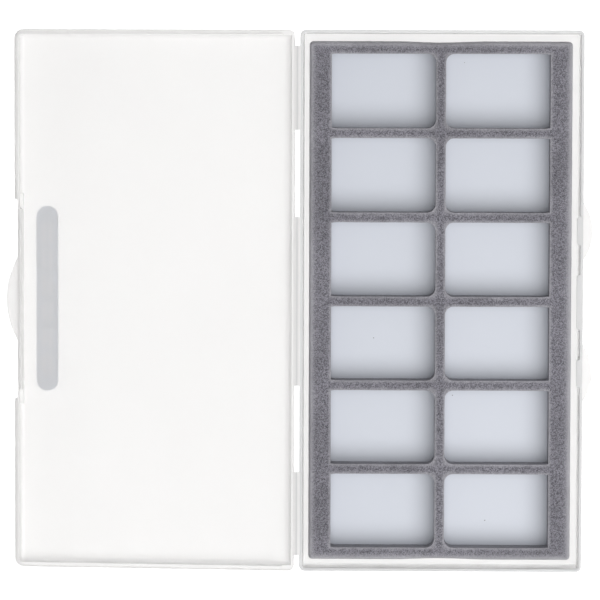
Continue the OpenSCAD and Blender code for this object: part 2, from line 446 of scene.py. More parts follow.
class Effects:
    """The shared shader effects, each a node group built once."""

    def __init__(self) -> None:
        """Builds all groups."""
        self.spark = self._spark()
        self.flow = self._flow()
        self.cells = self._cells()
        self.specks = self._specks()

    @staticmethod
    def _spark() -> bpy.types.NodeTree:
        """The fine grain of a spark-eroded mould: a height and a matching mask."""
        group, tree = new_group(
            "spark_grain",
            {"Grain": 4000.0, "Softness": 0.5},
            {"Height": "NodeSocketFloat", "Mask": "NodeSocketFloat"},
        )
        ends = tree.node("NodeGroupInput").outputs
        where = tree.node("ShaderNodeTexCoord").outputs["Object"]
        fine = tree.node(
            "ShaderNodeTexNoise",
            {"Vector": where, "Scale": ends["Grain"], "Detail": 2.0, "Roughness": ends["Softness"]},
        ).outputs["Fac"]
        coarse_scale = tree.maths("MULTIPLY", ends["Grain"], 0.31)
        coarse = tree.node(
            "ShaderNodeTexNoise", {"Vector": where, "Scale": coarse_scale, "Detail": 1.0}
        ).outputs["Fac"]
        height = tree.maths("ADD", tree.maths("MULTIPLY", fine, 0.6), tree.maths("MULTIPLY", coarse, 0.4))
        mask = tree.remap(height, 0.35, 0.65, 0.0, 1.0)
        tree.node("NodeGroupOutput", {"Height": height, "Mask": mask})
        return group

    @staticmethod
    def _flow() -> bpy.types.NodeTree:
        """Slow changes across a moulding or a sheet, drawn out along one direction."""
        group, tree = new_group(
            "flow_variation",
            {"Size": 30.0, "Stretch": 0.35},
            {"Mask": "NodeSocketFloat"},
        )
        ends = tree.node("NodeGroupInput").outputs
        where = tree.node("ShaderNodeTexCoord").outputs["Object"]
        scaled = tree.node("ShaderNodeCombineXYZ", {"X": 1.0, "Y": ends["Stretch"], "Z": 1.0})
        drawn = tree.node(
            "ShaderNodeVectorMath", {0: where, 1: scaled.outputs[0]}, operation="MULTIPLY"
        ).outputs[0]
        cloud = tree.node(
            "ShaderNodeTexNoise",
            {"Vector": drawn, "Scale": ends["Size"], "Detail": 3.0, "Roughness": 0.45, "Distortion": 0.6},
        ).outputs["Fac"]
        tree.node("NodeGroupOutput", {"Mask": tree.remap(cloud, 0.3, 0.7, 0.0, 1.0)})
        return group

    @staticmethod
    def _cells() -> bpy.types.NodeTree:
        """The cut cells of fine foam: a height, and a mask that is low inside the open cells."""
        group, tree = new_group(
            "foam_cells",
            {"Cell": 1500.0, "Unevenness": 0.5},
            {"Height": "NodeSocketFloat", "Mask": "NodeSocketFloat"},
        )
        ends = tree.node("NodeGroupInput").outputs
        where = tree.node("ShaderNodeTexCoord").outputs["Object"]
        wander = tree.node("ShaderNodeTexNoise", {"Vector": where, "Scale": ends["Cell"], "Detail": 1.0})
        offset = tree.node(
            "ShaderNodeVectorMath", {0: wander.outputs["Color"], "Scale": 0.00025}, operation="SCALE"
        ).outputs[0]
        moved = tree.node("ShaderNodeVectorMath", {0: where, 1: offset}, operation="ADD").outputs[0]
        pits = tree.node(
            "ShaderNodeTexVoronoi", {"Vector": moved, "Scale": ends["Cell"], "Randomness": 1.0},
            feature="F1", distance="EUCLIDEAN",
        ).outputs["Distance"]
        clump_scale = tree.maths("MULTIPLY", ends["Cell"], 0.55)
        clumps = tree.node(
            "ShaderNodeTexNoise", {"Vector": where, "Scale": clump_scale, "Detail": 4.0, "Roughness": 0.75}
        ).outputs["Fac"]
        rough = tree.maths("MULTIPLY", tree.remap(clumps, 0.25, 0.75, 0.0, 1.0), ends["Unevenness"])
        walls = tree.remap(pits, 0.1, 0.75, 0.0, 1.0)
        height = tree.maths("ADD", tree.maths("MULTIPLY", walls, 0.5), rough)
        tree.node("NodeGroupOutput", {"Height": height, "Mask": tree.remap(height, 0.1, 0.9, 0.0, 1.0)})
        return group

    @staticmethod
    def _specks() -> bpy.types.NodeTree:
        """Sparse specks of dust, as a mask."""
        group, tree = new_group(
            "dust_specks", {"Spacing": 90.0, "Speck": 0.02}, {"Mask": "NodeSocketFloat"}
        )
        ends = tree.node("NodeGroupInput").outputs
        where = tree.node("ShaderNodeTexCoord").outputs["Object"]
        near = tree.node(
            "ShaderNodeTexVoronoi", {"Vector": where, "Scale": ends["Spacing"], "Randomness": 1.0}
        ).outputs["Distance"]
        mask = tree.maths("LESS_THAN", near, ends["Speck"])
        tree.node("NodeGroupOutput", {"Mask": mask})
        return group


# ---------------------------------------------------------------------------------------------
# Finishes
# ---------------------------------------------------------------------------------------------


def new_material(name: str) -> tuple[bpy.types.Material, Tree, bpy.types.Node]:
    """Starts a material with an empty tree and a Principled shader.

    Args:
        name: the material's name.

    Returns:
        The material, a builder for its tree, and its shader node.
    """
    material = bpy.data.materials.new(name)
    material.use_nodes = True
    material.node_tree.nodes.clear()
    tree = Tree(material.node_tree)
    shader = tree.node("ShaderNodeBsdfPrincipled")
    tree.node("ShaderNodeOutputMaterial", {"Surface": shader.outputs[0]})
    return material, tree, shader


def grey(level: float, blue: float = 0.0) -> tuple[float, float, float, float]:
    """A neutral colour with a little more blue."""
    return (level, level + blue / 2, level + blue, 1.0)


@dataclass(frozen=True)
class FrostedPlastic:
    """Translucent polypropylene with a fine moulded grain."""

    name: str
    tint: tuple[float, float, float, float]
    milky: tuple[float, float, float, float]
    clearness: float
    roughness: float
    index: float = 1.38
    grain: float = 3600.0
    depth: float = 0.02

    def material(self, effects: Effects) -> bpy.types.Material:
        """The finish as a material.

        Args:
            effects: the shared shader effects.

        Returns:
            The material.
        """
        material, tree, shader = new_material(self.name)
        spark = tree.place(effects.spark, grain=self.grain)
        flow = tree.place(effects.flow, size=22.0)
        colour = tree.blend(flow.outputs["Mask"], self.tint, self.milky)
        rough = tree.remap(
            tree.maths("ADD", spark.outputs["Mask"], flow.outputs["Mask"]),
            0.0, 2.0, self.roughness - 0.05, self.roughness + 0.06,
        )
        bump = tree.node(
            "ShaderNodeBump",
            {"Strength": self.depth, "Distance": 0.0002, "Height": spark.outputs["Height"]},
        )
        tree.tree.links.new(colour, shader.inputs["Base Color"])
        tree.tree.links.new(rough, shader.inputs["Roughness"])
        tree.tree.links.new(bump.outputs[0], shader.inputs["Normal"])
        shader.inputs["Transmission Weight"].default_value = self.clearness
        shader.inputs["IOR"].default_value = self.index
        return material


@dataclass(frozen=True)
class CutFoam:
    """Grey foam with fine cut cells, paler along its cut edges and walls: partly fray, partly painted
    highlight and painted bounce light.
    """

    name: str = "grey_foam"
    cell: float = 3000.0
    dark: tuple[float, float, float, float] = (0.078, 0.075, 0.091, 1.0)
    light: tuple[float, float, float, float] = (0.295, 0.288, 0.328, 1.0)
    # The paler tone of frayed cut edges, which also serves as painted highlight and painted bounce light.
    frayed_and_lit: tuple[float, float, float, float] = (0.49, 0.483, 0.52, 1.0)
    fray_and_highlight: float = 0.6

    def material(self, effects: Effects) -> bpy.types.Material:
        """The finish as a material.

        Args:
            effects: the shared shader effects.

        Returns:
            The material.
        """
        material, tree, shader = new_material(self.name)
        cells = tree.place(effects.cells, cell=self.cell, unevenness=0.6)
        flow = tree.place(effects.flow, size=45.0, stretch=1.0)
        specks = tree.maths("POWER", cells.outputs["Mask"], 1.7)
        colour = tree.blend(specks, self.dark, self.light)
        # The edge attribute paints a paler tone: partly frayed cut edges, partly painted highlight on edges
        # and painted bounce light on walls.
        edge = tree.node("ShaderNodeAttribute", attribute_name=FOAM_FRAY_AND_HIGHLIGHT).outputs["Fac"]
        colour = tree.blend(tree.maths("MULTIPLY", edge, self.fray_and_highlight), colour, self.frayed_and_lit)
        uneven = tree.remap(flow.outputs["Mask"], 0.0, 1.0, 0.92, 1.08)
        tone = tree.node("ShaderNodeCombineColor", {0: uneven, 1: uneven, 2: uneven}).outputs[0]
        colour = tree.blend(1.0, colour, tone, "MULTIPLY")
        rough = tree.remap(cells.outputs["Mask"], 0.0, 1.0, 1.0, 0.85)
        bump = tree.node(
            "ShaderNodeBump",
            {"Strength": 0.9, "Distance": 0.00035, "Height": cells.outputs["Height"]},
        )
        tree.tree.links.new(colour, shader.inputs["Base Color"])
        tree.tree.links.new(rough, shader.inputs["Roughness"])
        tree.tree.links.new(bump.outputs[0], shader.inputs["Normal"])
        shader.inputs["Specular IOR Level"].default_value = 0.25
        shader.inputs["Sheen Weight"].default_value = 0.15
        shader.inputs["Sheen Roughness"].default_value = 0.6
        return material


@dataclass(frozen=True)
class SmoothSheet:
    """A smooth opaque sheet or film with slow changes and a few specks."""

    name: str
    colour: tuple[float, float, float, float]
    second: tuple[float, float, float, float]
    roughness: float
    speck: float = 0.02

    def material(self, effects: Effects) -> bpy.types.Material:
        """The finish as a material.

        Args:
            effects: the shared shader effects.

        Returns:
            The material.
        """
        material, tree, shader = new_material(self.name)
        flow = tree.place(effects.flow, size=14.0, stretch=0.6)
        spark = tree.place(effects.spark, grain=2200.0)
        specks = tree.place(effects.specks, speck=self.speck)
        colour = tree.blend(flow.outputs["Mask"], self.colour, self.second)
        colour = tree.blend(specks.outputs["Mask"], colour, grey(0.22))
        rough = tree.remap(
            tree.maths("ADD", spark.outputs["Mask"], flow.outputs["Mask"]),
            0.0, 2.0, self.roughness - 0.05, self.roughness + 0.06,
        )
        bump = tree.node(
            "ShaderNodeBump",
            {"Strength": 0.04, "Distance": 0.0001, "Height": spark.outputs["Height"]},
        )
        tree.tree.links.new(colour, shader.inputs["Base Color"])
        tree.tree.links.new(rough, shader.inputs["Roughness"])
        tree.tree.links.new(bump.outputs[0], shader.inputs["Normal"])
        return material


class Finish(Enum):
    """The finishes of this object."""

    TRAY = FrostedPlastic("clear_tray", grey(0.80, -0.01), grey(0.82, -0.01), 0.80, 0.36, 1.25)
    LID = FrostedPlastic("milky_lid", grey(0.925, -0.012), grey(0.935, -0.012), 0.45, 0.36, 1.25)
    # Painted shade: a darker, bluer, less clear copy of the tray's plastic for the rim's tops, standing in
    # for the light lost down the tall wall.
    RIM = FrostedPlastic("rim_painted_shade", grey(0.73, 0.006), grey(0.76, 0.006), 0.30, 0.35, 1.25)
    BOND = FrostedPlastic("label_bond", grey(0.93), grey(0.95), 1.0, 0.36, 1.25)
    WEB = FrostedPlastic("folded_film", grey(0.80), grey(0.84), 0.2, 0.4)
    FOAM = CutFoam()
    SHEET = SmoothSheet("pale_sheet", (0.59, 0.618, 0.68, 1.0), (0.62, 0.648, 0.71, 1.0), 0.36)
    ADHESIVE = SmoothSheet("adhesive_film", (0.62, 0.6, 0.52, 1.0), (0.68, 0.66, 0.58, 1.0), 0.5, 0.03)
    LABEL = SmoothSheet("label_field", (0.47, 0.54, 0.67, 1.0), (0.50, 0.57, 0.70, 1.0), 0.42)
    MARK = SmoothSheet("label_mark", (0.80, 0.79, 0.86, 1.0), (0.83, 0.82, 0.89, 1.0), 0.42)

    def material(self, effects: Effects) -> bpy.types.Material:
        """The finish's material, which is built the first time."""
        return bpy.data.materials.get(self.value.name) or self.value.material(effects)

    def on(self, effects: Effects, *pieces: bpy.types.Object) -> None:
        """Gives the finish to the whole of each piece."""
        material = self.material(effects)
        for piece in pieces:
            if not piece.material_slots:
                piece.data.materials.append(material)
            for place in piece.material_slots:
                place.link = "OBJECT"
                place.material = material

    def on_faces(
        self, effects: Effects, piece: bpy.types.Object, wanted: Callable[[bpy.types.MeshPolygon], bool]
    ) -> None:
        """Gives the finish to some faces of a piece, in a slot of its own.

        Args:
            effects: the shared shader effects.
            piece: the piece.
            wanted: says whether a face gets the finish.
        """
        piece.data.materials.append(self.material(effects))
        index = len(piece.data.materials) - 1
        for face in piece.data.polygons:
            if wanted(face):
                face.material_index = index


# ---------------------------------------------------------------------------------------------
# The object
# ---------------------------------------------------------------------------------------------


@dataclass(frozen=True)
class Straps:
    """Where the living hinge's three straps lie along the case."""

    middle: float = 59.4 * MM
    end: float = 29.4 * MM
    end_at: float = 74.7 * MM

    def spans(self) -> dict[str, Point]:
        """Each strap's lowest and highest y, by the name of its CAD node."""
        return {
            "hinge_web_rear": (self.end_at - self.end / 2, self.end_at + self.end / 2),
            "hinge_web_middle": (-self.middle / 2, self.middle / 2),
            "hinge_web_front": (-self.end_at - self.end / 2, -self.end_at + self.end / 2),
        }


@dataclass(frozen=True)
class CaseSizes:
    """Sizes that the tray and the lid share."""

    length: float = 190 * MM
    half_width: float = 99.2 * MM
    tray_height: float = 13 * MM
    lid_height: float = 4 * MM
    wall: float = 1.2 * MM
    corner: float = 2 * MM
    edge: float = 1.2 * MM
    rim_gap: float = 0.05 * MM
    leaf: float = 0.97 * MM
    leaf_thickness: float = 0.8 * MM
    web_width: float = 0.5 * MM
    web_thickness: float = 0.3 * MM
    tab_thickness: float = 0.9 * MM
    tab_rounding: float = 0.22 * MM
    straps: Straps = field(default_factory=Straps)

    @property
    def hinge_x(self) -> float:
        """The fold line's place along X."""
        return -self.half_width / 2 - self.leaf

    @property
    def rim(self) -> float:
        """The height of the tray's rim."""
        return self.tray_height - self.rim_gap

    @property
    def lid_far(self) -> float:
        """The distance from the fold line to the lid's free side."""
        return self.leaf + self.half_width

    @property
    def droop(self) -> float:
        """How far the opened lid leans below flat, in radians, from the joints' closing angle."""
        closing = sum(max(joint["range_deg"]) for joint in frame["record"]["behaviour"]["joints"])
        return math.radians(closing - 180)


def tab_line(chord: float, out: float, root: float, steps: int = 40) -> list[Point]:
    """A thumb tab's outline: a disc's segment that stands out of x = 0 towards +X.

    Args:
        chord: its length along x = 0.
        out: how far it stands out.
        root: how far it reaches into the wall.
        steps: chords along its round edge.

    Returns:
        The outline, anticlockwise.
    """
    radius = (chord * chord / 4 + out * out) / (2 * out)
    half = math.degrees(math.acos((radius - out - root) / radius))
    return arc((out - radius, 0), radius, -half, half, steps)


def leaf_plate(case: CaseSizes, span: Point, side: int, height: float) -> bpy.types.Object:
    """One leaf of a hinge strap, thinning towards the web.

    Args:
        case: the case's sizes.
        span: its lowest and highest y.
        side: 1 for the tray's leaf, -1 for the lid's, both with the fold line at x = 0.
        height: the height of its top.

    Returns:
        The leaf.
    """
    inner, root = case.web_width / 2, case.leaf + 0.4 * MM
    thick, thin = case.leaf_thickness, case.web_thickness
    chamfer = 0.08 * MM
    section = [
        (inner, -0.02 * MM), (inner, -thin), (inner + 0.3 * MM, -thick + chamfer),
        (inner + 0.4 * MM, -thick), (root, -thick), (root, 0), (inner + 0.15 * MM, 0),
    ]
    rings = []
    for y, into in ((span[0], chamfer), (span[0] + chamfer, 0), (span[1] - chamfer, 0), (span[1], chamfer)):
        middle = -thin / 2
        squeeze = 1 - into / thick
        rings.append(
            [Vector((side * x, y, height + middle + (z - middle) * squeeze)) for x, z in section]
        )
    return loft("leaf", rings)


@dataclass(frozen=True)
class Tray:
    """The tray half of the moulding, with its latch lugs, thumb tabs and hinge leaves."""

    case: CaseSizes
    draft: float = 0.2 * MM
    rim_outer: float = 0.25 * MM
    rim_inner: float = 0.45 * MM
    floor_fillet: float = 0.8 * MM
    lug_height: float = 1.4 * MM
    lug_out: float = 1.05 * MM
    lugs: tuple[Point, ...] = ((0, 19.3 * MM), (-25 * MM, 9.8 * MM), (25 * MM, 9.8 * MM))
    tab_chord: float = 19.9 * MM
    tab_out: float = 3.2 * MM
    tab_at: float = 24.8 * MM

    def shell(self) -> bpy.types.Object:
        """The tray's pan: floor, walls and rim, all with rounded edges."""
        case = self.case
        outline = Outline(
            -case.half_width / 2, case.half_width / 2, case.length / 2, case.corner, case.corner
        )
        profile = list(quarter(case.edge, 6, rising=True))
        profile = [(into + self.draft * (1 - z / case.rim), z) for into, z in profile]
        for into, up in quarter(self.rim_outer, 3, rising=False):
            profile.append((into, case.rim - self.rim_outer + up))
        for into, up in reversed(quarter(self.rim_inner, 4, rising=False)):
            profile.append((case.wall - into, case.rim - self.rim_inner + up))
        foot = case.wall + self.draft
        for into, up in quarter(self.floor_fillet, 4, rising=False):
            profile.append((foot + into, case.wall + self.floor_fillet - up))
        return loft("tray_shell", [at_height(outline.inset(into).points(), z) for into, z in profile])

    def lug(self, at: float, length: float) -> bpy.types.Object:
        """One latch lug on the inside of the free side."""
        case = self.case
        face = case.half_width / 2 - case.wall
        radius = self.lug_out * 0.9
        outline = Outline(face - self.lug_out, face + 0.5 * MM, length / 2, radius, 0.3 * MM)
        line = [(x, y + at) for x, y in outline.points(5)]
        return slab("lug", line, case.rim - self.lug_height, case.rim - 0.03 * MM, 0.15 * MM)

    def stands_out(self, face: bpy.types.MeshPolygon) -> bool:
        """True for the faces of the thumb tabs and of the hinge leaves."""
        return abs(face.center.x) > self.case.half_width / 2 + 0.02 * MM

    def is_rim(self, face: bpy.types.MeshPolygon) -> bool:
        """True for the faces on top of the rim and of the lugs."""
        return not self.stands_out(face) and face.center.z > self.case.rim - 0.4 * MM

    def build(self) -> bpy.types.Object:
        """The whole tray half as one solid."""
        case = self.case
        parts = [self.lug(at, length) for at, length in self.lugs]
        for side in (-1, 1):
            line = tab_line(self.tab_chord, self.tab_out, 0.5 * MM)
            line = [(x + case.half_width / 2, y + side * self.tab_at) for x, y in line]
            parts.append(
                slab("tab", line, case.rim - case.tab_thickness, case.rim - 0.02 * MM, case.tab_rounding)
            )
        for span in case.straps.spans().values():
            leaf = leaf_plate(case, span, 1, case.rim)
            leaf.data.transform(Matrix.Translation((case.hinge_x, 0, 0)))
            parts.append(leaf)
        piece = smoothed(combined(self.shell(), parts, "UNION"))
        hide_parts("case_base")
        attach(piece, "tray")
        return piece


@dataclass(frozen=True)
class Lid:
    """The lid half of the moulding, built flat and then turned down to the table."""

    case: CaseSizes
    free_corner: float = 3.3 * MM
    draft: float = 0.1 * MM
    rim_width: float = 2.05 * MM
    hinge_rim: float = 1.0 * MM
    panel_fillet: float = 1.35 * MM
    lip_inset: float = 1.4 * MM
    lip_thickness: float = 0.6 * MM
    lip_height: float = 1.6 * MM
    latch_height: float = 2.4 * MM
    latch_inset: float = 2.4 * MM
    latch_half: float = 31.5 * MM
    notch_half: float = 35.2 * MM
    notch_depth: float = 1.1 * MM
    beads: tuple[Point, ...] = ((0, 17.3 * MM), (-25 * MM, 7.8 * MM), (25 * MM, 7.8 * MM))
    tab_chord: float = 29.4 * MM
    tab_out: float = 2.85 * MM

    @property
    def place(self) -> Matrix:
        """Takes the lid's own flat drawing to the opened lid's place."""
        turn = Euler((0, -self.case.droop, 0)).to_matrix().to_4x4()
        return Matrix.Translation((self.case.hinge_x, 0, self.case.tray_height)) @ turn

    def placed(self, piece: bpy.types.Object) -> bpy.types.Object:
        """Moves a piece from the lid's own flat drawing to the opened lid's place."""
        piece.data.transform(self.place)
        return piece

    def shell(self) -> bpy.types.Object:
        """The lid's shallow pan."""
        case = self.case
        outline = Outline(-case.lid_far, -case.leaf, case.length / 2, self.free_corner, case.corner)
        low, rim = -case.lid_height, -case.rim_gap
        bevel, panel = 0.2 * MM, -case.lid_height + case.wall
        rings = []
        for into, up in quarter(case.edge, 6, rising=True):
            lean = self.draft * (1 - up / case.lid_height)
            rings.append(at_height(outline.inset(into + lean).points(), low + up))
        for into, up in quarter(bevel, 3, rising=False):
            rings.append(at_height(outline.inset(into).points(), rim - bevel + up))
        for into, up in reversed(quarter(bevel, 3, rising=False)):
            inner = outline.inset(self.rim_width - into, self.hinge_rim - into)
            rings.append(at_height(inner.points(), rim - bevel + up))
        fillet = self.panel_fillet
        for into, up in quarter(fillet, 6, rising=False):
            inner = outline.inset(self.rim_width + into, self.hinge_rim + into)
            rings.append(at_height(inner.points(), panel + fillet - up))
        return loft("lid_shell", rings)

    def lip(self) -> bpy.types.Object:
        """The thin lip on three sides, which steps inwards and stands taller at the latch."""
        case = self.case
        middle = self.lip_inset + self.lip_thickness / 2
        outer_x = middle - case.lid_far
        latch_x = self.latch_inset + self.lip_thickness / 2 - case.lid_far
        end_x = -case.leaf - 4 * MM
        far_y = case.length / 2 - middle
        step_y = self.latch_half + self.lip_thickness / 2
        corner = self.free_corner - middle
        half = [
            (end_x, far_y, 0), (outer_x, far_y, corner),
            (outer_x, step_y, 0.4 * MM), (latch_x, step_y, 0.4 * MM),
        ]
        path = filleted(half + [(x, -y, r) for x, y, r in reversed(half)])
        between = (outer_x + latch_x) / 2
        tops = [
            self.latch_height if x > between and abs(y) < step_y + 0.1 * MM else self.lip_height
            for x, y in path
        ]
        return sweep("lip", path, tops, -0.7 * MM, self.lip_thickness)

    def latch_wall(self) -> bpy.types.Object:
        """The thicker stretch of wall behind the notch."""
        case = self.case
        x0 = self.notch_depth - case.lid_far
        x1 = self.latch_inset + self.lip_thickness + 0.05 * MM - case.lid_far
        outline = Outline(x0, x1, self.notch_half + 2 * MM, 0.3 * MM, 0.3 * MM)
        panel = -case.lid_height + case.wall
        return slab("latch_wall", outline.points(3), panel - 0.3 * MM, -case.rim_gap - 0.01 * MM, 0.12 * MM)

    def bead(self, at: float, length: float) -> bpy.types.Object:
        """One snap bead on the outside of the latch's lip."""
        lip_x = self.latch_inset - self.case.lid_far
        outline = Outline(lip_x - 0.25 * MM, lip_x + 0.35 * MM, length / 2, 0.25 * MM, 0.25 * MM)
        line = [(x, y + at) for x, y in outline.points(3)]
        return slab("bead", line, 1.55 * MM, 2.15 * MM, 0.18 * MM)

    def tab(self) -> bpy.types.Object:
        """The thumb tab in the middle of the free side."""
        case = self.case
        root_x = self.notch_depth - case.lid_far
        line = tab_line(self.tab_chord, self.tab_out + self.notch_depth, 0.5 * MM, 56)
        line = [(root_x - x, y) for x, y in reversed(line)]
        top = -case.rim_gap - 0.03 * MM
        return slab("tab", line, top - case.tab_thickness, top, case.tab_rounding)

    def build(self, label: "Label") -> bpy.types.Object:
        """The whole lid half as one solid.

        Args:
            label: the label, whose recess is cut in the outer face.

        Returns:
            The lid at its place.
        """
        case = self.case
        far = -case.lid_far
        notch = Outline(far - 5 * MM, far + self.notch_depth, self.notch_half, 0.3 * MM, 0.4 * MM)
        cutters = [
            loft("notch", [at_height(notch.points(), z) for z in (-6 * MM, 1 * MM)]),
            label.recess(),
        ]
        shell = combined(self.shell(), cutters, "DIFFERENCE")
        parts = [self.latch_wall(), self.tab(), self.lip()]
        parts += [self.bead(at, length) for at, length in self.beads]
        parts += [leaf_plate(case, span, -1, -case.rim_gap) for span in case.straps.spans().values()]
        piece = self.placed(smoothed(combined(shell, parts, "UNION")))
        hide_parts("case_lid")
        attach(piece, "lid")
        return piece


@dataclass(frozen=True)
class HingeWebs:
    """The thin webs of the living hinge: a flap on either side of a round fold line.

    The web is only half a millimetre wide, so each half stays flat and the two meet in the fold
    line's round at every angle of the lid.
    """

    case: CaseSizes
    steps: int = 6

    def strip(self, name: str, span: Point, side: int) -> bpy.types.Object:
        """Half of a web, from its leaf to the fold line.

        Args:
            name: the piece's name.
            span: its lowest and highest y.
            side: 1 for the tray's half, -1 for the lid's, with the fold line at x = 0.

        Returns:
            The strip.
        """
        case = self.case
        radius = case.web_thickness / 2
        reach = case.web_width / 2 + 0.02 * MM
        middle = -case.rim_gap - radius
        section = arc((0, middle), radius, 90, 270, self.steps)
        section += [(reach, middle - radius), (reach, middle + radius)]
        rings = [[Vector((side * x, y, z)) for x, z in section] for y in span]
        return smoothed(loft(name, rings), 50)

    def build(self, lid: Lid) -> list[bpy.types.Object]:
        """All the webs, each in two halves.

        Args:
            lid: the lid, which says where its half lies.

        Returns:
            The halves.
        """
        fold = Vector((self.case.hinge_x, 0, self.case.tray_height))
        made = []
        for node, span in self.case.straps.spans().items():
            tray_half = self.strip(f"{node}_tray_half", span, 1)
            tray_half.data.transform(Matrix.Translation(fold))
            lid_half = lid.placed(self.strip(f"{node}_lid_half", span, -1))
            for piece, body in ((tray_half, "tray"), (lid_half, "lid")):
                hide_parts(node)
                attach(piece, body)
                made.append(piece)
        return made


@dataclass(frozen=True)
class Label:
    """The plain pill-shaped label in the lid's outer face, with a row of small raised bars."""

    case: CaseSizes
    width: float = 7.85 * MM
    length: float = 65.5 * MM
    from_side: float = 11.2 * MM
    depth: float = 0.5 * MM
    gap: float = 0.05 * MM
    bar_rows: int = 6
    bar_pitch: float = 9.3 * MM
    bar_size: Point = (1.35 * MM, 7.2 * MM)
    bar_spread: float = 1.15 * MM

    @property
    def centre_x(self) -> float:
        """The label's place along X in the lid's flat drawing."""
        return self.from_side - self.case.lid_far

    def pill(self, width: float, length: float, at: Point = (0, 0)) -> list[Point]:
        """A pill's outline, lying along Y."""
        radius = width / 2
        straight = length / 2 - radius
        line = arc((0, straight), radius, 0, 180, 16) + arc((0, -straight), radius, 180, 360, 16)
        return [(x + self.centre_x + at[0], y + at[1]) for x, y in line]

    def recess(self) -> bpy.types.Object:
        """The solid that cuts the label's recess."""
        low = -self.case.lid_height
        line = self.pill(self.width, self.length)
        return loft("recess", [at_height(line, z) for z in (low - 1 * MM, low + self.depth)])

    def lies_against(self, lid: Lid, face: bpy.types.MeshPolygon) -> bool:
        """True for those faces of the lid that the label is stuck to."""
        x, y, z = lid.place.inverted() @ face.center
        level = abs(z + self.case.lid_height - self.depth) < 0.02 * MM
        return level and abs(x - self.centre_x) < self.width / 2 and abs(y) < self.length / 2

    def build(self, lid: Lid) -> tuple[bpy.types.Object, bpy.types.Object]:
        """The label's field and its bars.

        Args:
            lid: the lid, which says where the label lies.

        Returns:
            The field and the bars.
        """
        low = -self.case.lid_height
        back = low + self.depth - 0.02 * MM
        line = self.pill(self.width - 2 * self.gap, self.length - 2 * self.gap)
        plate = slab("label_field", line, low + 0.14 * MM, back, 0.08 * MM)
        bars = []
        for row in range(self.bar_rows):
            y = (row - (self.bar_rows - 1) / 2) * self.bar_pitch
            for side in (-1, 1):
                bar = self.pill(*self.bar_size, (side * self.bar_spread, y))
                bars.append(slab("bar", bar, low + 0.06 * MM, back + 0.01 * MM, 0.07 * MM))
        marks = joined("label_bars", bars)
        for piece in (plate, marks):
            lid.placed(smoothed(piece))
            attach(piece, "lid")
        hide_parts("label_inlay")
        return plate, marks


class EdgeKind(Enum):
    """What an edge of a foam piece is."""

    SEAM = "abuts another foam piece"
    POCKET = "a pocket's wall"
    OUTSIDE = "the divider's outer side"


@dataclass
class FoamLoop:
    """The outline of one foam piece with what each of its edges is."""

    points: list[Point]
    kinds: list[EdgeKind]

    def resampled(self, pitch: float) -> "FoamLoop":
        """The same outline with extra points, so that no stretch is longer than pitch."""
        points: list[Point] = []
        kinds: list[EdgeKind] = []
        following = [*self.points[1:], self.points[0]]
        for (x, y), (x1, y1), kind in zip(self.points, following, self.kinds):
            count = max(1, math.ceil(math.hypot(x1 - x, y1 - y) / pitch))
            points += [(x + (x1 - x) * i / count, y + (y1 - y) * i / count) for i in range(count)]
            kinds += [kind] * count
        return FoamLoop(points, kinds)


